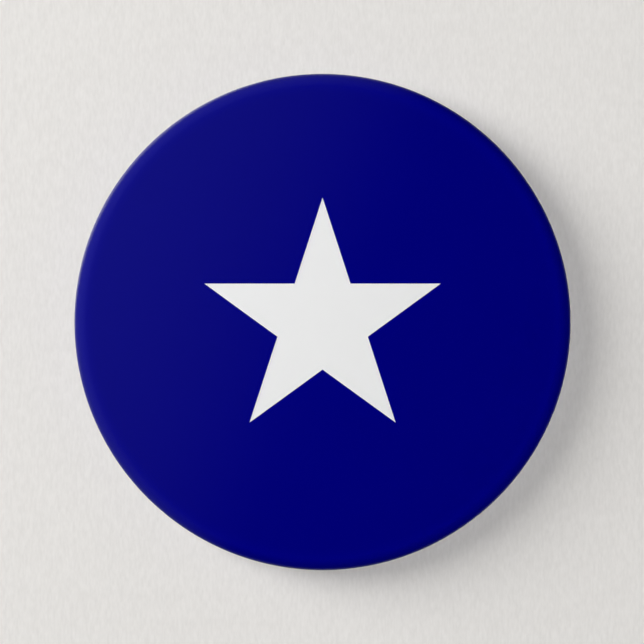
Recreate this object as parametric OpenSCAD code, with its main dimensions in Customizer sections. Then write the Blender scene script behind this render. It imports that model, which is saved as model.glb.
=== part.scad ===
// Button badge: a domed, film-covered printed face pressed over a tinplate shell,
// closed by a tinplate back plate that carries a swinging safety pin.
// The badge stands upright: face towards -Y, star point up along +Z, back towards +Y.
// The origin is on the badge's axis, in the plane of the rear rim.
// Every module is drawn lying down, face up along +Z with the rear rim at z = 0, and stood up last.

/* [Badge] */
// Diameter over the film
badge_d = 76.2; // [70:0.1:90]
// Depth from the rear rim to the middle of the face
badge_depth = 7.2; // [7:0.1:9]
// Radius of the rounded edge of the face
edge_r = 2.4; // [1.8:0.1:3]
// Slope of the face where it meets the rounded edge, in degrees
shoulder_slope = 7.3; // [5:0.1:9]
// Radius of the rolled rear rim
rim_r = 0.9; // [0.8:0.05:1.2]
// Width of the flat that the rear rim rests on
rim_flat = 0.5; // [0.3:0.05:1]
// Height of the turned-in hem above the rear rim
hem_top = 2.2; // [1.8:0.1:2.6]

/* [Layers] */
// Thickness of the clear film
film_t = 0.08; // [0.06:0.01:0.12]
// Thickness of the printed ink
ink_t = 0.05; // [0.05:0.01:0.08]
// Thickness of the paper
paper_t = 0.12; // [0.08:0.01:0.2]
// Thickness of the shell's tinplate
shell_t = 0.28; // [0.2:0.01:0.3]

/* [Star] */
// Distance from the badge's middle to the star's points
star_r = 18.92; // [10:0.1:24]

/* [Back plate] */
// Thickness of the back plate's tinplate
plate_t = 0.3; // [0.25:0.01:0.35]
// Height of the plate's sunk middle above the rear rim
plate_z = 1.9; // [1.8:0.05:2.2]
// Radius of the sunk middle
sunk_r = 27; // [25:0.5:28]
// Height of the terrace around the sunk middle
terrace_z = 1.3; // [1:0.05:1.5]
// Radius of the bead inside the hem
bead_r = 1; // [0.8:0.05:1.1]

/* [Pin seat] */
// Height of the pin's fixed leg above the badge's middle
leg_y = 8; // [6:0.5:10]
// How far the seat under the leg is raised from the plate
seat_h = 0.9; // [0.8:0.05:1]
// Radius of the seat's round ends
seat_r = 2.4; // [2:0.1:2.6]
// Distance from the badge's middle to the middle of each seat end
seat_x = 11; // [10:0.5:12]
// Distance from the badge's middle to each loop
loop_x = 8; // [6:0.5:9]
// Width of a loop's strap
loop_w = 3; // [2:0.1:3.5]
// Slit between a loop and the edge of its window
loop_slit = 0.2; // [0.1:0.05:0.3]

/* [Safety pin] */
// Diameter of the pin's wire
wire_d = 0.9; // [0.8:0.05:0.9]
// Gap around the wire in its loops, and between the turns of the coil
play = 0.05; // [0.03:0.01:0.08]
// Radius of the coil, to the middle of the wire
coil_r = 2.3; // [2:0.1:2.5]
// Distance from the badge's middle to the middle of the coil
coil_x = 18; // [17:0.5:19]
// Diameter of the needle's ground shank
shank_d = 0.85; // [0.75:0.01:0.85]
// Length of the needle's taper
taper_l = 5.2; // [4:0.1:5.5]
// Radius left at the needle's point
point_r = 0.03; // [0.02:0.01:0.05]

/* [Clasp cap] */
// Where the cap's mouth starts
cap_x = 15.5; // [15:0.1:16]
// Length of the cap
cap_l = 6.8; // [6.5:0.1:7]
// Thickness of the cap's sheet
cap_t = 0.3; // [0.25:0.01:0.35]
// Room above and below the wire inside the cap
cap_room = 0.1; // [0.08:0.01:0.12]
// Gap between each lip of the cap and the needle
lip_gap = 0.14; // [0.1:0.01:0.2]

/* [Hidden] */
$fn = 96;
eps = 0.5;                                  // how far a cutting solid runs past what it cuts

badge_r = badge_d / 2;
dome_r = (badge_r - edge_r + edge_r * sin(shoulder_slope)) / sin(shoulder_slope);
dome_z = badge_depth - dome_r;              // height of the dome's centre, far below the badge
edge_c = [badge_r - edge_r, dome_z + (dome_r - edge_r) * cos(shoulder_slope)];
hem_r = badge_r - 2 * rim_r - rim_flat;     // the hem's inner wall

paper_depth = film_t + ink_t;
shell_depth = paper_depth + paper_t;
skin_depth = shell_depth + shell_t;

nip = 0.03;                                 // gap between the plate and the hem it holds
bead_c = [hem_r - nip - bead_r, plate_z - 0.55];
flange_r = badge_r - skin_depth - 0.35;     // the flange stops short of the skirt

wire_r = wire_d / 2;
leg_z = plate_z - seat_h - wire_r - play;   // the fixed leg's axis
turn_gap = wire_d + play;
needle_z = leg_z - turn_gap;                // the needle leaves the coil's rear turn
needle_y = leg_y - 2 * coil_r;
coil_y = leg_y - coil_r;
turn_sweep = 345;                           // each turn stops short of the straight wire it starts from
ground_x = 2.8 - coil_x;                    // where the grinding of the shank starts, clear of the coil
shank_x = ground_x + 0.7;
taper_x = cap_x - 0.4;                      // the needle tapers from just before the cap's mouth

cap_hi = leg_z + wire_r + cap_room + cap_t; // the cap's face nearest the plate
cap_lo = needle_z - wire_r - cap_room - cap_t;
cap_half = (cap_hi - cap_lo) / 2;
cap_z = (cap_hi + cap_lo) / 2;
cap_low = needle_y - wire_r - 0.3;
nest = cap_half - cap_t - wire_r - 0.02;    // how far off the round top's centre the leg may lie
cap_y = leg_y - sqrt(nest * nest - (leg_z - cap_z) * (leg_z - cap_z));

// The points of an arc about c, from angle a0 to angle a1, in n steps
function arc(c, r, a0, a1, n) =
    [for (i = [0:n]) let (a = a0 + (a1 - a0) * i / n) c + r * [cos(a), sin(a)]];

// The unit vector to the right of the way from p to q
function right_of(p, q) = let (d = (q - p) / norm(q - p)) [d.y, -d.x];

// The same path d further to its right; its first point lies on the badge's axis and stays there
function beside(path, d) =
    let (last = len(path) - 1)
    [for (i = [0:last])
        i == 0 ? path[0] - [0, d] :
        i == last ? path[i] + d * right_of(path[i - 1], path[i]) :
        let (a = right_of(path[i - 1], path[i]), b = right_of(path[i], path[i + 1]))
        path[i] + d * (a + b) / (1 + a * b)];

// A closed section between depths d0 and d1 beside a path
function section(path, d0, d1) =
    let (far = beside(path, d1), last = len(path) - 1)
    concat(beside(path, d0), [for (i = [0:last]) far[last - i]]);

// The film's outside, from the middle of the face over the edge and round the rim to the hem's end
face_path = concat(
    arc([0, dome_z], dome_r, 90, 90 - shoulder_slope, 12),
    [for (i = [1:8]) arc(edge_c, edge_r, 90 - shoulder_slope, 0, 8)[i]],
    arc([badge_r - rim_r, rim_r], rim_r, 0, -90, 6),
    arc([hem_r + rim_r, rim_r], rim_r, -90, -180, 6),
    [[hem_r, hem_top]]);

// The plate's rear face, from its middle over the terrace and the bead to the flange's edge
plate_path = concat(
    [[0, plate_z], [sunk_r, plate_z], [sunk_r + 1, terrace_z], [bead_c.x - 1.5 * bead_r, terrace_z]],
    arc(bead_c, bead_r, 215, 360, 10),
    [[hem_r - nip, hem_top + nip], [flange_r, hem_top + nip]]);

// Stands a lying piece up: its face turns to -Y and its star point to +Z
module stand() {
    rotate([90, 0, 0]) children();
}

module layer(d0, d1) {
    rotate_extrude() polygon(section(face_path, d0, d1));
}

// A five-pointed star whose sides run straight from point to point
module star(r) {
    inner = r * cos(72) / cos(36);
    polygon([for (i = [0:9]) (i % 2 == 0 ? r : inner) * [sin(36 * i), cos(36 * i)]]);
}

// A bar of wire from x0 to x1 on an axis at height y and level z
module rod(x0, x1, y, z, d) {
    translate([x0, y, z]) rotate([0, 90, 0]) cylinder(h = x1 - x0, d = d);
}

// Most of a turn of the coil at level z, counter-clockwise from angle a0
module turn(z, a0) {
    translate([-coil_x, coil_y, z]) rotate([0, 0, a0])
        rotate_extrude(angle = turn_sweep) translate([coil_r, 0]) circle(d = wire_d);
}

// A plan shape with round ends of radius r, its ends' middles dx either side of the badge's middle
module slot_shape(dx, r) {
    square([2 * dx, 2 * r], center = true);
    for (x = [-dx, dx]) translate([x, 0]) circle(r = r);
}

// A section in y and z, drawn with y to the left, carried along x from x0 to x1
module along_x(x0, x1) {
    translate([x0, 0, 0]) rotate([90, 0, 90]) linear_extrude(x1 - x0) children();
}

module film_cover() {
    color([0.85, 0.88, 0.95, 0.35]) stand() layer(0, film_t);
}

module artwork_ink() {
    color([0.01, 0.01, 0.46]) stand() difference() {
        layer(film_t, paper_depth);
        linear_extrude(badge_depth + 1) star(star_r);
    }
}

module artwork_paper() {
    color([0.91, 0.91, 0.91]) stand() layer(paper_depth, shell_depth);
}

module front_shell() {
    color([0.7, 0.71, 0.72]) stand() layer(shell_depth, skin_depth);
}

// A strap pushed out of the plate, over the fixed leg
module loop(x) {
    strap_r = wire_r + play + plate_t;
    along_x(x - loop_w / 2, x + loop_w / 2) difference() {
        union() {
            translate([leg_y, leg_z]) circle(r = strap_r);
            translate([leg_y - strap_r, leg_z]) square([2 * strap_r, plate_z - seat_h + plate_t / 2 - leg_z]);
        }
        translate([leg_y, leg_z]) circle(r = wire_r + play);
        translate([leg_y - wire_r - play, leg_z]) square([2 * (wire_r + play), 2]);
    }
}

module back_plate() {
    seat_z = plate_z - seat_h;
    window = [loop_w + 2 * loop_slit, 2 * (wire_r + play), 2 * plate_t];
    color([0.75, 0.76, 0.77]) stand() {
        difference() {
            union() {
                rotate_extrude() polygon(section(plate_path, 0, -plate_t));
                translate([0, leg_y, seat_z])
                    linear_extrude(seat_h + plate_t / 2) slot_shape(seat_x, seat_r);
            }
            translate([0, leg_y, seat_z + plate_t])
                linear_extrude(seat_h + eps) slot_shape(seat_x, seat_r - plate_t);
            for (x = [-loop_x, loop_x])
                translate([x, leg_y, seat_z + plate_t / 2]) cube(window, center = true);
        }
        for (x = [-loop_x, loop_x]) loop(x);
    }
}

module pin_wire() {
    color([0.78, 0.78, 0.76]) stand() {
        turn(leg_z, 90);
        rod(-coil_x, cap_x + cap_l - 2, leg_y, leg_z, wire_d);
    }
}

// The cap's section, less a wall of thickness t
module cap_section(t) {
    r = cap_half - t;
    translate([cap_y, cap_z]) circle(r = r);
    translate([cap_low + t, cap_z - r]) square([cap_y - cap_low - t, 2 * r]);
}

module clasp_cap() {
    mouth = wire_d + 2 * lip_gap;
    color([0.78, 0.78, 0.76]) stand() difference() {
        along_x(cap_x, cap_x + cap_l) cap_section(0);
        along_x(cap_x - eps, cap_x + cap_l - cap_t) cap_section(cap_t);
        along_x(cap_x - eps, cap_x + cap_l - cap_t)
            translate([cap_low - 1, needle_z - mouth / 2]) square([2, mouth]);
    }
}

// A tapered stretch of the needle
module taper(x0, x1, r0, r1) {
    translate([x0, needle_y, needle_z]) rotate([0, 90, 0]) cylinder(h = x1 - x0, r1 = r0, r2 = r1);
}

module pin_needle() {
    color([0.8, 0.8, 0.78]) stand() {
        turn(needle_z, 270 - turn_sweep);
        rod(-coil_x, ground_x, needle_y, needle_z, wire_d);
        taper(ground_x, shank_x, wire_r, shank_d / 2);
        rod(shank_x, taper_x, needle_y, needle_z, shank_d);
        taper(taper_x, taper_x + taper_l, shank_d / 2, point_r);
    }
}

film_cover();
artwork_ink();
artwork_paper();
front_shell();
back_plate();
pin_wire();
clasp_cap();
pin_needle();
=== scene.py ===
import math

import bmesh
import bpy
from mathutils import Matrix, Vector


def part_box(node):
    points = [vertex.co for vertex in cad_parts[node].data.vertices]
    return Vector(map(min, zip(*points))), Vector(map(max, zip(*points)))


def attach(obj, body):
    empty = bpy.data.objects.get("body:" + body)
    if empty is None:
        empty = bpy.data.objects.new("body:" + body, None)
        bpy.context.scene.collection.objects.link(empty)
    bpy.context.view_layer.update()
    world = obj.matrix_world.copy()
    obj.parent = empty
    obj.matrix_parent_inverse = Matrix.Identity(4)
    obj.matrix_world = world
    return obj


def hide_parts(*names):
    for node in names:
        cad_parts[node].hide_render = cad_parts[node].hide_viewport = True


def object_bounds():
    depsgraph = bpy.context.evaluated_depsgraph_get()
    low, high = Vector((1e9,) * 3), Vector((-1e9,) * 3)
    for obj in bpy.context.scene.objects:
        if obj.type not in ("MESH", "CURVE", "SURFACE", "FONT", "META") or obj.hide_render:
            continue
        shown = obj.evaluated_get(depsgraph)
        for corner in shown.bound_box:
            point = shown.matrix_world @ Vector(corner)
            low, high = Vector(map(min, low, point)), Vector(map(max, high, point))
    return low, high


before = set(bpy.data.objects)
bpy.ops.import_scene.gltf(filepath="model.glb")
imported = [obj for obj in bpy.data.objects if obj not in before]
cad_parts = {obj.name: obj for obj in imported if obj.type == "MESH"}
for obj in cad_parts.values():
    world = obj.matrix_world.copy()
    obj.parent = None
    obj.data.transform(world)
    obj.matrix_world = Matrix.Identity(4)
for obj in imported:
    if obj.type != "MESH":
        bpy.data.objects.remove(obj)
cad_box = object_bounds()


# --- Front shell -------------------------------------------------------------------------------
# The dome under the artwork: one disc of bright tinplate, drawn over a die to a shallow dome with
# a rounded edge and a short skirt. Its rim is turned in at the back, with the paper and the film
# wrapped round it.
MM = 0.001
film_low, film_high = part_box("film_cover")
badge_r = film_high.x
badge_depth = -film_low.y
edge_r = 2.4 * MM
shoulder = 7.3                      # slope of the face where it meets the rounded edge, in degrees
rim_r = 0.9 * MM
rim_flat = 0.5 * MM
hem_top = 2.2 * MM
hem_r = badge_r - 2 * rim_r - rim_flat
film_t = 0.08 * MM
ink_t = 0.05 * MM
paper_t = 0.12 * MM
shell_t = 0.28 * MM
air = 0.01 * MM                     # left between the layers, so that no two faces coincide
ROUND_STEPS = 288
DOME_STEPS = 44
EDGE_STEPS = 22
RIM_STEPS = 10


# Sections are made of (radius, height) points. Heights run from the rear rim towards the face.
def arc(centre, radius, start, end, steps):
    """Points along an arc, from one angle to another in degrees."""
    turns = [math.radians(start + (end - start) * i / steps) for i in range(steps + 1)]
    return [Vector((centre[0] + radius * math.cos(a), centre[1] + radius * math.sin(a)))
            for a in turns]


def right_of(p, q):
    """The unit vector to the right of the way from p to q."""
    way = (q - p).normalized()
    return Vector((way.y, -way.x))


def beside(path, depth):
    """The same path, depth further to its right. Its first point lies on the badge's axis."""
    moved = [path[0] - Vector((0, depth))]
    for before, here, after in zip(path, path[1:], path[2:]):
        a, b = right_of(before, here), right_of(here, after)
        moved.append(here + depth * (a + b) / (1 + a.dot(b)))
    return moved + [path[-1] + depth * right_of(path[-2], path[-1])]


def face_outside():
    """The film's outside, from the middle of the face over the edge and round the rim to the hem."""
    slope = math.radians(shoulder)
    dome_r = (badge_r - edge_r + edge_r * math.sin(slope)) / math.sin(slope)
    dome_h = badge_depth - dome_r
    edge_at = (badge_r - edge_r, dome_h + (dome_r - edge_r) * math.cos(slope))
    return (arc((0, dome_h), dome_r, 90, 90 - shoulder, DOME_STEPS)
            + arc(edge_at, edge_r, 90 - shoulder, 0, EDGE_STEPS)[1:]
            + arc((badge_r - rim_r, rim_r), rim_r, 0, -90, RIM_STEPS)
            + arc((hem_r + rim_r, rim_r), rim_r, -90, -180, RIM_STEPS)
            + [Vector((hem_r, hem_top))])


def upright(radius, height):
    """A section's point in the badge's frame, above the axis on +X."""
    return Vector((radius, -height, 0))


def revolve(section, steps=ROUND_STEPS):
    """Spins a section about the badge's axis into a mesh."""
    shape = bmesh.new()
    line = [shape.verts.new(upright(*p)) for p in section]
    for pair in zip(line, line[1:]):
        shape.edges.new(pair)
    bmesh.ops.spin(shape, geom=shape.verts[:] + shape.edges[:], cent=(0, 0, 0), axis=(0, 1, 0),
                   angle=2 * math.pi, steps=steps, use_merge=True)
    bmesh.ops.remove_doubles(shape, verts=shape.verts, dist=1e-7)
    bmesh.ops.recalc_face_normals(shape, faces=shape.faces)
    return shape


def layer(near, thickness):
    """A closed skin of the badge's face, from near below the film's outside, clear of the next one."""
    outside = face_outside()
    return revolve(beside(outside, near) + beside(outside, near + thickness - air)[::-1])


def make(shape, name, body, node, material, crease=35):
    """Finishes a piece, smooth but for creases sharper than the given degrees: gives it its material,
    hangs it from its body's empty and hides the CAD node that it replaces."""
    for face in shape.faces:
        face.smooth = True
    for edge in shape.edges:
        edge.smooth = edge.calc_face_angle(0) < math.radians(crease)
    mesh = bpy.data.meshes.new(name)
    shape.to_mesh(mesh)
    shape.free()
    mesh.materials.append(material)
    piece = bpy.data.objects.new(name, mesh)
    bpy.context.scene.collection.objects.link(piece)
    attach(piece, body)
    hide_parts(node)
    return piece


GRAIN_START = (3.37, 7.71, 5.23)    # keeps the seams that a noise has at its origin off the badge


class Value:
    """A shader value that can be used in sums: each sum adds the Math node that works it out."""

    def __init__(self, nodes, socket):
        self.nodes, self.socket = nodes, socket

    def maths(self, operation, a, b):
        return self.nodes.add("ShaderNodeMath", {"operation": operation}, {0: a, 1: b})

    def __add__(self, other):
        return self.maths("ADD", self, other)

    def __sub__(self, other):
        return self.maths("SUBTRACT", self, other)

    def __mul__(self, other):
        return self.maths("MULTIPLY", self, other)

    def __pow__(self, other):
        return self.maths("POWER", self, other)

    def __rsub__(self, other):
        return self.maths("SUBTRACT", other, self)

    __radd__ = __add__
    __rmul__ = __mul__

    def within(self, low, high):
        """How far this value is from low to high, held between 0 and 1."""
        return self.nodes.add("ShaderNodeMapRange", {"interpolation_type": "SMOOTHSTEP"},
                              {"Value": self, "From Min": low, "From Max": high})


class Nodes:
    """A node tree that is being built."""

    def __init__(self, owner):
        owner.use_nodes = True
        self.owner, self.tree = owner, owner.node_tree
        self.tree.nodes.clear()

    def add(self, kind, settings=None, sockets=None, output=0):
        """Adds a node: its settings first, then the values or links of its sockets. Gives an output."""
        node = self.tree.nodes.new(kind)
        for name, value in (settings or {}).items():
            setattr(node, name, value)
        for name, value in (sockets or {}).items():
            if isinstance(value, Value):
                self.tree.links.new(value.socket, node.inputs[name])
            else:
                node.inputs[name].default_value = value
        return Value(self, node.outputs[output]) if len(node.outputs) else node

    def place(self, stretch=(1, 1, 1), turn=(0, 0, 0)):
        """The piece's own coordinates, stretched to the frequency of a pattern."""
        own = self.add("ShaderNodeTexCoord", output="Object")
        return self.add("ShaderNodeMapping", {}, {"Vector": own, "Location": GRAIN_START,
                                                  "Scale": stretch, "Rotation": turn})

    def noise(self, stretch, detail=3.0, roughness=0.5, turn=(0, 0, 0)):
        """A noise from 0 to 1 whose grain per metre along each axis is given by stretch."""
        return self.add("ShaderNodeTexNoise", {"normalize": True},
                        {"Vector": self.place(stretch, turn), "Scale": 1.0, "Detail": detail,
                         "Roughness": roughness})

    def blend(self, share, low, high):
        """A colour that runs from low to high, both (red, green, blue), as share goes from 0 to 1."""
        return self.add("ShaderNodeMix", {"data_type": "RGBA"},
                        {0: share, 6: (*low, 1), 7: (*high, 1)}, output=2)

    def bump(self, height, depth):
        """A normal for a relief of the given depth in metres."""
        return self.add("ShaderNodeBump", {}, {"Height": height, "Distance": depth, "Strength": 1.0})


def finish_with(name, build, **plain):
    """A material with one Principled shader. build gives the linked inputs, plain the constant ones."""
    nodes = Nodes(bpy.data.materials.new(name))
    sockets = {key.replace("_", " "): value for key, value in plain.items()}
    sockets.update(build(nodes))
    shader = nodes.add("ShaderNodeBsdfPrincipled", {}, sockets)
    nodes.add("ShaderNodeOutputMaterial", {}, {"Surface": shader})
    return nodes.owner


def tinplate_look(nodes):
    """Rolled tin: hairlines along the sheet, faint clouds and a few handling marks."""
    hairlines = nodes.noise((60, 5200, 5200), detail=4.0, roughness=0.6)
    clouds = nodes.noise((90, 90, 90), detail=3.0)
    marks = nodes.noise((160, 5200, 2600), detail=2.0, turn=(0.0, 0.5, 0.0)).within(0.66, 0.74)
    shade = hairlines * 0.55 + clouds * 0.45
    return {
        "Base Color": nodes.blend(shade, (0.52, 0.535, 0.55), (0.76, 0.765, 0.77)),
        "Roughness": 0.2 + clouds * 0.16 + hairlines * 0.08 + marks * 0.12,
        "Normal": nodes.bump(hairlines + marks * 0.4, 0.003 * MM),
    }


tinplate = finish_with("tinplate", tinplate_look, Metallic=1.0)
make(layer(film_t + ink_t + paper_t, shell_t),
     "front_shell_dome", "badge", "front_shell", tinplate)


# --- Artwork paper -----------------------------------------------------------------------------
# A disc of smooth white coated paper, stretched over the shell and turned in with its rim.
# Only the star on the face and the disc's cut edge in the hem are left unprinted.
def paper_look(nodes):
    """Coated paper: a fine fibre grain with a slight cloudiness."""
    fibres = nodes.noise((2600, 2600, 5200), detail=5.0, roughness=0.65)
    clouds = nodes.noise((160, 160, 160), detail=2.0)
    return {
        "Base Color": nodes.blend(fibres * 0.6 + clouds * 0.4, (0.83, 0.83, 0.83), (0.86, 0.86, 0.86)),
        "Roughness": 0.55 + fibres * 0.12,
        "Normal": nodes.bump(fibres, 0.003 * MM),
    }


white_paper = finish_with("white_paper", paper_look, Specular_IOR_Level=0.0)
make(layer(film_t + ink_t, paper_t),
     "artwork_paper_disc", "badge", "artwork_paper", white_paper)


# --- Artwork ink -------------------------------------------------------------------------------
# The navy print on the paper, over the face, the edge and the turned-in rim. It leaves a plain
# five-pointed star open in the middle, where the white paper shows.
star_r = 18.92 * MM
STAR_POINTS = 5


def cut_star(shape):
    """Opens a star in the face of a layer, along the five straight lines that join its points."""
    step = 360 / STAR_POINTS
    reach = star_r * math.cos(math.radians(step))
    around_star = star_r * 1.15
    turns = [math.radians(90 + step * i) for i in range(STAR_POINTS)]
    sides = [Vector((math.cos(a), 0, math.sin(a))) for a in turns]
    for side in sides:
        near = [f for f in shape.faces if f.calc_center_median().length < around_star]
        around = {v for f in near for v in f.verts} | {e for f in near for e in f.edges}
        bmesh.ops.bisect_plane(shape, geom=near + list(around), dist=1e-8, plane_co=side * reach,
                               plane_no=side)
    inside = []
    for face in shape.faces:
        middle = face.calc_center_median()
        short_of = sum(middle.dot(side) < reach for side in sides)
        if short_of >= STAR_POINTS - 1 and middle.length < around_star:
            inside.append(face)
    bmesh.ops.delete(shape, geom=inside, context="FACES")
    rims = [e for e in shape.edges if e.is_boundary]
    bmesh.ops.bridge_loops(shape, edges=rims)
    bmesh.ops.recalc_face_normals(shape, faces=shape.faces)


def ink_look(nodes):
    """Printed navy: nearly even, with the faint mottle of ink, and painted light: lighter towards the rim,
    standing for the light that the rounded edge catches.
    """
    mottle = nodes.noise((3800, 3800, 3800), detail=3.0, roughness=0.6)
    clouds = nodes.noise((70, 70, 70), detail=2.0)
    own = nodes.add("ShaderNodeTexCoord", output="Object")
    off_centre = nodes.add("ShaderNodeVectorMath", {"operation": "LENGTH"}, {0: own}, output="Value")
    # Painted light: the navy is made lighter over the rounded edge, in place of the light that the edge
    # catches.
    rim_light_painted = off_centre.within(badge_r - 1.3 * edge_r, badge_r - 0.2 * edge_r)
    shade = mottle * 0.2 + clouds * 0.2 + rim_light_painted * 0.6
    return {
        "Base Color": nodes.blend(shade, (0.0001, 0.0001, 0.188), (0.0003, 0.0003, 0.24)),
        "Roughness": 0.5 + mottle * 0.1,
        "Normal": nodes.bump(mottle, 0.002 * MM),
    }


navy_ink = finish_with("navy_ink", ink_look, Specular_IOR_Level=0.0)
ink = layer(film_t, ink_t)
cut_star(ink)
make(ink, "artwork_ink_print", "badge", "artwork_ink", navy_ink)


# --- Film cover --------------------------------------------------------------------------------
# A disc of clear polyester film over the print, turned in with it. It only adds gloss: it lets
# the print through and mirrors more as it is seen more from the side.
MOST_MIRRORED = 0.12


def clear_film_material():
    """Clear gloss over the print, with a faint haze and wipe marks."""
    nodes = Nodes(bpy.data.materials.new("clear_film"))
    haze = nodes.noise((240, 240, 240), detail=3.0)
    wipes = nodes.noise((50, 1600, 500), detail=3.0, roughness=0.6, turn=(0.2, 0.7, 0.4))
    front = 1 - nodes.add("ShaderNodeNewGeometry", output="Backfacing")
    fresnel = nodes.add("ShaderNodeFresnel", {}, {"IOR": 1.5})
    mirrored = fresnel.maths("MINIMUM", fresnel, MOST_MIRRORED) * front
    relief = nodes.bump(haze * 0.7 + wipes * 0.3, 0.001 * MM)
    gloss = nodes.add("ShaderNodeBsdfGlossy", {}, {"Color": (1, 1, 1, 1), "Normal": relief,
                                                   "Roughness": 0.1 + haze * 0.05 + wipes * 0.07})
    clear = nodes.add("ShaderNodeBsdfTransparent", {}, {"Color": (1, 1, 1, 1)})
    mixed = nodes.add("ShaderNodeMixShader", {}, {0: mirrored, 1: clear, 2: gloss})
    nodes.add("ShaderNodeOutputMaterial", {}, {"Surface": mixed})
    return nodes.owner


make(layer(0, film_t), "film_cover_clear", "badge", "film_cover", clear_film_material())


# --- Back plate --------------------------------------------------------------------------------
# A pressed tinplate disc that closes the badge: a sunk middle, a terrace, a bead inside the hem
# and a flange trapped over the hem's cut ends. Two straps lanced from a raised seat hold the pin.
plate_t = 0.3 * MM
plate_h = 1.9 * MM
terrace_h = 1.3 * MM
sunk_r = 26.8 * MM
seat_rise = 0.9 * MM
wire_r = 0.45 * MM
play = 0.05 * MM
leg_z = 8 * MM
seat_x = 11 * MM
seat_h = plate_h - seat_rise
leg_h = seat_h - wire_r - play
bead_r = 1.0 * MM
bead_h = plate_h - 0.55 * MM
nip = 0.03 * MM                     # gap between the plate and the hem that it holds
flange_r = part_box("back_plate")[1].x
corner_r = 0.2 * MM                 # the flange's bend
terrace_w = 1.4 * MM                # the soft step from the sunk middle up to the terrace
bead_run = 1.6 * MM                 # from the bead's middle to the bend beside the terrace
bead_bend_r = 0.5 * MM
seat_foot_r = 2.75 * MM
seat_top_r = 1.95 * MM
FLAT = 0.99999                      # a face whose normal runs this near the axis is shaded flat
strap_x = 8 * MM
strap_half = 1.5 * MM
slit = 0.2 * MM
strap_r = wire_r + play + plate_t
root = 0.3 * MM


def swell(start, end, steps):
    """Points of a soft step from start to end, level at both ends."""
    eased = [(1 - math.cos(math.pi * i / steps)) / 2 for i in range(steps + 1)]
    return [Vector((start[0] + (end[0] - start[0]) * i / steps, start[1] + (end[1] - start[1]) * e))
            for i, e in enumerate(eased)]


def plate_rim():
    """The plate's rear face, from the sunk middle's edge to the flange's edge."""
    bead = Vector((hem_r - nip - bead_r, bead_h))
    flange_h = hem_top + nip
    return (swell((sunk_r, plate_h), (sunk_r + terrace_w, terrace_h), 10)
            + arc((bead.x - bead_run, terrace_h - bead_bend_r), bead_bend_r, 90, 35, 5)
            + arc(bead, bead_r, 215, 360, 16)
            + arc((hem_r - nip + corner_r, flange_h - corner_r), corner_r, 180, 90, 5)
            + [Vector((flange_r, flange_h))])


def at(x, z, height):
    """A point of the back: x and z in the badge's plane, and a height above the rear rim."""
    return Vector((x, -height, z))


def closed_line(shape, points):
    """Joins points into a closed line of edges."""
    line = [shape.verts.new(p) for p in points]
    return [shape.edges.new(pair) for pair in zip(line, line[1:] + line[:1])]


def seat_line(shape, radius, height):
    """The seat's outline at one height: a long shape with round ends."""
    ends = arc((seat_x, leg_z), radius, -90, 90, 20) + arc((-seat_x, leg_z), radius, 90, 270, 20)
    return closed_line(shape, [at(p.x, p.y, height) for p in ends])


def strap_profile():
    """The strap's rear face, from one root over the pin's leg to the other, as (z, height)."""
    foot = strap_r + root
    return (arc((leg_z - foot, seat_h - root), root, 90, 0, 5)
            + arc((leg_z, leg_h), strap_r, 180, 360, 20)
            + arc((leg_z + foot, seat_h - root), root, 180, 90, 5))


def add_strap(shape, x):
    """One strap over the leg, and the edges of the window that it was pushed out of."""
    line = [shape.verts.new(at(x - strap_half, p.x, p.y)) for p in strap_profile()]
    edges = [shape.edges.new(pair) for pair in zip(line, line[1:])]
    grown = bmesh.ops.extrude_edge_only(shape, edges=edges)["geom"]
    moved = [v for v in grown if isinstance(v, bmesh.types.BMVert)]
    bmesh.ops.translate(shape, verts=moved, vec=(2 * strap_half, 0, 0))
    foot, half, wide = strap_r + root, strap_half, strap_half + slit
    corners = [(-wide, -foot), (-half, -foot), (half, -foot), (wide, -foot),
               (wide, foot), (half, foot), (-half, foot), (-wide, foot)]
    return closed_line(shape, [at(x + dx, leg_z + dz, seat_h) for dx, dz in corners])


def back_plate_shape():
    """The whole rear face as one open sheet, turned to face the back."""
    shape = revolve(plate_rim())
    inner = sunk_r + 0.01 * MM
    hub = [e for e in shape.edges if e.is_boundary and e.verts[0].co.xz.length < inner]
    steps = swell((seat_foot_r, plate_h), (seat_top_r, seat_h), 8)
    rings = [seat_line(shape, p.x, p.y) for p in steps]
    for low, high in zip(rings, rings[1:]):
        bmesh.ops.bridge_loops(shape, edges=low + high)
    bmesh.ops.triangle_fill(shape, edges=hub + rings[0], use_beauty=True)
    windows = [e for x in (-strap_x, strap_x) for e in add_strap(shape, x)]
    bmesh.ops.triangle_fill(shape, edges=rings[-1] + windows, use_beauty=True)
    bmesh.ops.remove_doubles(shape, verts=shape.verts, dist=1e-6)
    bmesh.ops.recalc_face_normals(shape, faces=shape.faces)
    middle_face = min(shape.faces, key=lambda f: f.calc_center_median().xz.length)
    if middle_face.normal.y < 0:
        bmesh.ops.reverse_faces(shape, faces=shape.faces)
    return shape


def thicken(piece, thickness):
    """Gives a piece its sheet's thickness, inwards from the surface that was drawn."""
    wall = piece.modifiers.new("sheet", "SOLIDIFY")
    wall.thickness = thickness
    wall.offset = -1
    wall.use_even_offset = True


back_plate = make(back_plate_shape(), "back_plate_pressed", "badge", "back_plate", tinplate)
for face in back_plate.data.polygons:
    face.use_smooth = abs(face.normal.y) < FLAT
thicken(back_plate, plate_t)


# --- Safety pin wire ---------------------------------------------------------------------------
# The pin's fixed leg and the front turn of its coil: nickel-plated spring wire, lying in the
# straps and crimped into the clasp cap.
coil_x = -18 * MM
coil_r = 2.3 * MM
coil_z = leg_z - coil_r
turn_sweep = math.radians(345)
leg_end_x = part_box("pin_wire")[1].x
WIRE_SIDES = 28
TURN_STEPS = 96


def wire_end(shape, x, z, height, radius):
    """A ring of points round a wire that runs along X."""
    ring = [at(x, z + p.x, height + p.y) for p in arc((0, 0), radius, 0, 360, WIRE_SIDES)[:-1]]
    return closed_line(shape, ring)


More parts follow.
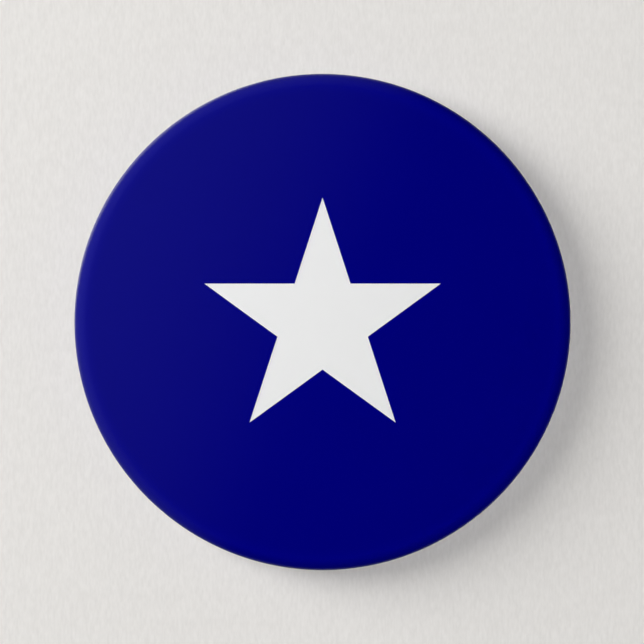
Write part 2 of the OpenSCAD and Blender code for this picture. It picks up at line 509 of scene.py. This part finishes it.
def draw_wire(shape, edges, length, radius_share=1.0, middle=None):
    """Carries a wire's end on along X, and scales it about its middle."""
    grown = bmesh.ops.extrude_edge_only(shape, edges=edges)["geom"]
    verts = {v for v in grown if isinstance(v, bmesh.types.BMVert)}
    bmesh.ops.translate(shape, verts=list(verts), vec=(length, 0, 0))
    if radius_share != 1.0:
        bmesh.ops.scale(shape, verts=list(verts), vec=(1, radius_share, radius_share),
                        space=Matrix.Translation(-middle))
    return [e for e in grown if isinstance(e, bmesh.types.BMEdge) and verts.issuperset(e.verts)]


def wind(shape, edges, height, sweep):
    """Winds most of a turn of the coil from a wire's end, and closes its far end."""
    verts = list({v for e in edges for v in e.verts})
    turned = bmesh.ops.spin(shape, geom=verts + edges, cent=at(coil_x, coil_z, height), axis=(0, 1, 0),
                            angle=sweep, steps=TURN_STEPS)["geom_last"]
    bmesh.ops.contextual_create(shape, geom=[e for e in turned if isinstance(e, bmesh.types.BMEdge)])


def wire_look(nodes):
    """Bright nickel over drawn wire: fine lines along it and a slight change of tone."""
    lines = nodes.noise((150, 9000, 9000), detail=3.0, roughness=0.6)
    tone = nodes.noise((420, 420, 420), detail=3.0)
    return {
        "Base Color": nodes.blend(lines * 0.4 + tone * 0.6, (0.56, 0.54, 0.50), (0.78, 0.76, 0.72)),
        "Roughness": 0.14 + tone * 0.14 + lines * 0.06,
        "Normal": nodes.bump(lines, 0.003 * MM),
    }


nickel_wire = finish_with("nickel_wire", wire_look, Metallic=1.0)
leg = bmesh.new()
start = wire_end(leg, coil_x, leg_z, leg_h, wire_r)
wind(leg, start, leg_h, -turn_sweep)
far = draw_wire(leg, start, leg_end_x - coil_x)
bmesh.ops.contextual_create(leg, geom=far)
bmesh.ops.recalc_face_normals(leg, faces=leg.faces)
make(leg, "pin_leg_and_coil", "safety_pin", "pin_wire", nickel_wire)


# --- Needle ------------------------------------------------------------------------------------
# The pin's moving leg and the rear turn of its coil, bent from the same wire. Its shank is ground
# a little thinner and its point is polished, and rests inside the clasp cap.
shank_r = 0.425 * MM
ground_x = coil_x + 2.8 * MM        # where the grinding starts, clear of the coil
ground_l = 0.7 * MM
needle_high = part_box("pin_needle")[1]
needle_h = -(needle_high.y - wire_r)
needle_z = leg_z - 2 * coil_r
taper_l = 5.2 * MM
point_r = 0.03 * MM
TAPER_STEPS = 12
TAPER_CURVE = 1.35                  # 1 would be a straight cone
needle = bmesh.new()
start = wire_end(needle, coil_x, needle_z, needle_h, wire_r)
wind(needle, start, needle_h, turn_sweep)
middle = at(0, needle_z, needle_h)
tip = draw_wire(needle, start, ground_x - coil_x)
tip = draw_wire(needle, tip, ground_l, shank_r / wire_r, middle)
tip = draw_wire(needle, tip, needle_high.x - taper_l - ground_x - ground_l)
shares = [(i / TAPER_STEPS) ** TAPER_CURVE for i in range(TAPER_STEPS + 1)]
widths = [shank_r + (point_r - shank_r) * share for share in shares]
for before, after in zip(widths, widths[1:]):
    tip = draw_wire(needle, tip, taper_l / TAPER_STEPS, after / before, middle)
bmesh.ops.contextual_create(needle, geom=tip)
bmesh.ops.recalc_face_normals(needle, faces=needle.faces)
make(needle, "pin_needle_pointed", "needle", "pin_needle", nickel_wire)


# --- Clasp cap ---------------------------------------------------------------------------------
# A guard of thin nickel-plated sheet, folded round the fixed leg and crimped on it. Its lower
# side is open along the needle's way out.
cap_low, cap_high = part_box("clasp_cap")
cap_t = 0.3 * MM
cap_end_r = 1.1 * MM
lip_gap = 0.14 * MM
slot_rear = needle_h - wire_r - lip_gap
slot_front = needle_h + wire_r + lip_gap
lip_rise = 0.12 * MM                # how far the rear lip stops short of the cap's lower edge
cap_corner_r = 0.45 * MM
end_depth = 2.9 * MM                # the larger this is, the less the section shrinks at the end
crimp_r = 0.95 * MM
crimp_stretch = 1.7                 # the crimp is this much longer along the leg than it is wide
crimp_deep = 0.55 * MM
crimp_in = 2.6 * MM
crimp_below_leg = 0.35 * MM
CAP_RINGS = 36
SIDE_STEPS = 24
END_STEPS = 8


def cap_section():
    """The cap's outer section as (z, height) points, starting at the slot's rear edge."""
    low = -cap_high.y
    high = -cap_low.y
    half = (high - low) / 2
    bottom = cap_low.z
    top = cap_high.z - half
    side = top - bottom - cap_corner_r
    return ([Vector((bottom + lip_rise, slot_rear))]
            + [Vector((bottom + cap_corner_r + side * i / SIDE_STEPS, low)) for i in range(SIDE_STEPS)]
            + arc((top, (high + low) / 2), half, -90, 90, 18)
            + [Vector((top - side * i / SIDE_STEPS, high)) for i in range(1, SIDE_STEPS)]
            + arc((bottom + cap_corner_r, high - cap_corner_r), cap_corner_r, 90, 180, 6)
            + [Vector((bottom, slot_front))])


def open_slot(shape, end):
    """Opens the needle's way out along the cap's lower side, as far as end."""
    lips = []
    for face in shape.faces:
        middle = face.calc_center_median()
        low_down = middle.z < cap_low.z + 0.1 * MM
        if low_down and middle.x < end and slot_rear < -middle.y < slot_front:
            lips.append(face)
    bmesh.ops.delete(shape, geom=lips, context="FACES")


def crimp(shape):
    """Presses a long dimple into the cap's rear face, onto the fixed leg."""
    centre = at(cap_low.x + crimp_in, leg_z - crimp_below_leg, 0)
    for point in shape.verts:
        along = (point.co.x - centre.x) / crimp_stretch
        away = Vector((along, point.co.z - centre.z)).length / crimp_r
        if away < 1 and point.co.y > 0:
            point.co.y -= crimp_deep * (1 - away * away) ** 2


def cap_shape():
    """Rings along the cap, closing in a rounded end, with the slot left open below."""
    shape = bmesh.new()
    section = cap_section()
    centre = Vector((sum(p.x for p in section), sum(p.y for p in section))) / len(section)
    straight = cap_high.x - cap_low.x - cap_end_r
    stations = [(straight * i / CAP_RINGS, 1.0) for i in range(CAP_RINGS + 1)]
    for i in range(1, END_STEPS + 1):
        a = math.radians(90 * i / END_STEPS)
        stations.append((straight + cap_end_r * math.sin(a), 1 - cap_end_r / end_depth * (1 - math.cos(a))))
    rings = []
    for along, share in stations:
        ring = [centre + (p - centre) * share for p in section]
        rings.append(closed_line(shape, [at(cap_low.x + along, p.x, p.y) for p in ring]))
    for near, far in zip(rings, rings[1:]):
        bmesh.ops.bridge_loops(shape, edges=near + far)
    bmesh.ops.contextual_create(shape, geom=rings[-1])
    open_slot(shape, cap_low.x + straight)
    bmesh.ops.recalc_face_normals(shape, faces=shape.faces)
    crimp(shape)
    return shape


nickel_cap = finish_with("nickel_cap", wire_look, Metallic=1.0)
cap = make(cap_shape(), "clasp_cap_folded", "safety_pin", "clasp_cap", nickel_cap)
thicken(cap, cap_t)


# --- Studio ------------------------------------------------------------------------------------
# A pale sheet behind the badge, as if it were pinned there, soft light from the upper left, and
# the camera straight in front. The sheet shows from its front only, so the back can be looked at.
def sheet_material():
    """Matt pale card with a fine grain, clear when it is seen from behind."""
    nodes = Nodes(bpy.data.materials.new("pale_sheet"))
    grain = nodes.noise((2600, 2600, 800), detail=2.0)
    tone = nodes.blend(grain, (0.71, 0.69, 0.665), (0.835, 0.815, 0.79))
    paper = nodes.add("ShaderNodeBsdfDiffuse", {}, {"Color": tone})
    clear = nodes.add("ShaderNodeBsdfTransparent", {}, {"Color": (1, 1, 1, 1)})
    behind = nodes.add("ShaderNodeNewGeometry", output="Backfacing")
    mixed = nodes.add("ShaderNodeMixShader", {}, {0: behind, 1: paper, 2: clear})
    nodes.add("ShaderNodeOutputMaterial", {}, {"Surface": mixed})
    return nodes.owner


sheet_y = cad_box[1].y + 2.5 * MM
sheet_half = 0.5
upright_turn = Matrix.Rotation(math.pi / 2, 3, "X")
backdrop = bmesh.new()
bmesh.ops.create_grid(backdrop, x_segments=1, y_segments=1, size=sheet_half)
bmesh.ops.rotate(backdrop, verts=backdrop.verts, cent=(0, 0, 0), matrix=upright_turn)
bmesh.ops.translate(backdrop, verts=backdrop.verts, vec=(0, sheet_y, 0))
sheet_mesh = bpy.data.meshes.new("sheet")
backdrop.to_mesh(sheet_mesh)
backdrop.free()
sheet_mesh.materials.append(sheet_material())
sheet = bpy.data.objects.new("sheet", sheet_mesh)
bpy.context.scene.collection.objects.link(sheet)
sheet.visible_glossy = False
sheet.visible_diffuse = False
sheet.visible_shadow = False


lamp_away = 1.0


def soft_light(name, off_axis, azimuth, length, width, power, casts_shadow):
    """An oval lamp in front, turned off the badge's axis towards an azimuth, and not mirrored in it."""
    out = Vector((math.cos(azimuth), 0, math.sin(azimuth)))
    ahead = Vector((0, -1, 0))
    way = ahead * math.cos(off_axis) + out * math.sin(off_axis)
    along = out * math.cos(off_axis) - ahead * math.sin(off_axis)
    data = bpy.data.lights.new(name, "AREA")
    data.shape = "ELLIPSE"
    data.size = length
    data.size_y = width
    data.energy = power
    data.use_shadow = casts_shadow
    data.cycles.use_multiple_importance_sampling = casts_shadow
    lamp = bpy.data.objects.new(name, data)
    bpy.context.scene.collection.objects.link(lamp)
    lamp.location = way * lamp_away
    lamp.rotation_euler = Matrix((along, way.cross(along), way)).transposed().to_euler()
    lamp.visible_camera = False
    lamp.visible_glossy = False


lit_from = math.radians(157)
soft_light("key", math.radians(52), lit_from, length=1.1, width=0.5, power=8.8, casts_shadow=True)
soft_light("fill", math.radians(18), lit_from + math.pi, length=4.2, width=4.2, power=22.8,
           casts_shadow=False)


def towards(sky, way, direction):
    """How far a way of the sky runs along a direction: 1 if it is the same, -1 if opposite."""
    return sky.add("ShaderNodeVectorMath", {"operation": "DOT_PRODUCT"}, {0: way, 1: direction},
                   output="Value")


world = bpy.data.worlds.new("studio")
bpy.context.scene.world = world
sky = Nodes(world)
camera_sky = 0.75                   # strength that the camera sees
lamp_glow = 0.31                    # strengths that shiny pieces mirror, by direction
rear_glow = 0.55
rear_slope = 0.3
window_glow = 0.9
least_ambient = 0.1                 # strengths that light the matt pieces
rear_ambient = 0.4
ambient_slope = 0.15
way = sky.add("ShaderNodeTexCoord", output="Generated")
lamp_side = towards(sky, way, (math.cos(lit_from), 0, math.sin(lit_from)))
window = towards(sky, way, Vector((-0.6, 0.65, 0.47)).normalized())
rearward = sky.add("ShaderNodeSeparateXYZ", {}, {0: way}, output="Y")
lit_side = lamp_side.maths("MAXIMUM", lamp_side, 0.0) ** 0.7
glow = (lit_side * lamp_glow
        + rearward.within(0.3, 1.0) * (rear_glow + rear_slope * lamp_side)
        + window.within(0.84, 0.93) * window_glow)
ambient = least_ambient + rearward.within(0.0, 0.6) * (rear_ambient + ambient_slope * lamp_side)
seen = sky.add("ShaderNodeLightPath", output="Is Camera Ray")
reflected = sky.add("ShaderNodeLightPath", output="Is Glossy Ray")
strength = seen * camera_sky + reflected * glow + (1 - reflected) * (1 - seen) * ambient
light = sky.add("ShaderNodeBackground", {}, {"Color": (1, 1, 1, 1), "Strength": strength})
sky.add("ShaderNodeOutputWorld", {}, {"Surface": light})

camera_data = bpy.data.cameras.new("camera")
camera_data.lens = 200
camera_data.sensor_width = 36
camera = bpy.data.objects.new("camera", camera_data)
bpy.context.scene.collection.objects.link(camera)
badge_share = 0.772                 # of the view's width
rim_plane = -2.5 * MM               # a depth at which the badge is at its widest
left_of_axis = 0.08 * MM
camera_away = badge_r / badge_share * camera_data.lens / (camera_data.sensor_width / 2)
camera.location = (-left_of_axis, rim_plane - camera_away, 0)
camera.rotation_euler = (math.pi / 2, 0, 0)
camera_data.clip_start = 0.01
camera_data.clip_end = 10
bpy.context.scene.camera = camera
bpy.context.scene.view_settings.view_transform = "Standard"
